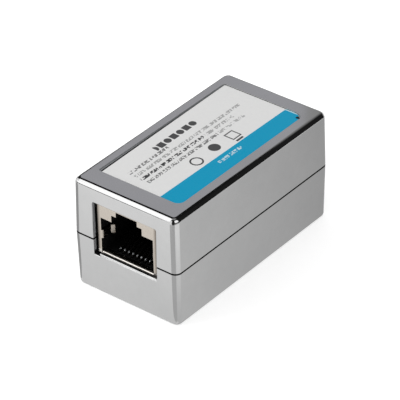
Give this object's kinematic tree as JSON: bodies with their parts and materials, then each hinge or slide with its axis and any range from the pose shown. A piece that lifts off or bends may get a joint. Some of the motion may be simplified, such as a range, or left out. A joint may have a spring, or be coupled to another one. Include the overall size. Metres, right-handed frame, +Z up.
{
  "type": "ethernet gender changer",
  "caption": "Shielded in-line network coupler: a chrome-plated split casing with a female modular jack at each end and a label recess on top.",
  "frame": {"origin": "centre of the casing's underside", "axes": "+X across the casing, +Y along it from the front jack to the rear jack, +Z up out of the label side"},
  "size_m": [0.025, 0.0474, 0.024],
  "materials": {
    "chrome_plate": "bright chrome plating, mirror smooth",
    "label_film": "printed satin film with a blue stripe",
    "board_laminate": "solder mask over glass laminate",
    "tin_plated_sheet": "bright plated sheet metal",
    "jack_moulding": "black moulded plastic",
    "contact_wire": "gold-plated wire"
  },
  "bodies": {
    "root": {"upper_shell": "chrome_plate", "lower_shell": "chrome_plate", "top_label": "label_film", "circuit_board": "board_laminate", "front_jack_shield": "tin_plated_sheet", "front_jack_housing": "jack_moulding", "front_contact_carrier": "jack_moulding", "front_contact_1": "contact_wire", "front_contact_2": "contact_wire", "front_contact_3": "contact_wire", "front_contact_4": "contact_wire", "front_contact_5": "contact_wire", "front_contact_6": "contact_wire", "front_contact_7": "contact_wire", "front_contact_8": "contact_wire", "rear_jack_shield": "tin_plated_sheet", "rear_jack_housing": "jack_moulding", "rear_contact_carrier": "jack_moulding", "rear_contact_1": "contact_wire", "rear_contact_2": "contact_wire", "rear_contact_3": "contact_wire", "rear_contact_4": "contact_wire", "rear_contact_5": "contact_wire", "rear_contact_6": "contact_wire", "rear_contact_7": "contact_wire", "rear_contact_8": "contact_wire"}
  },
  "joints": []
}
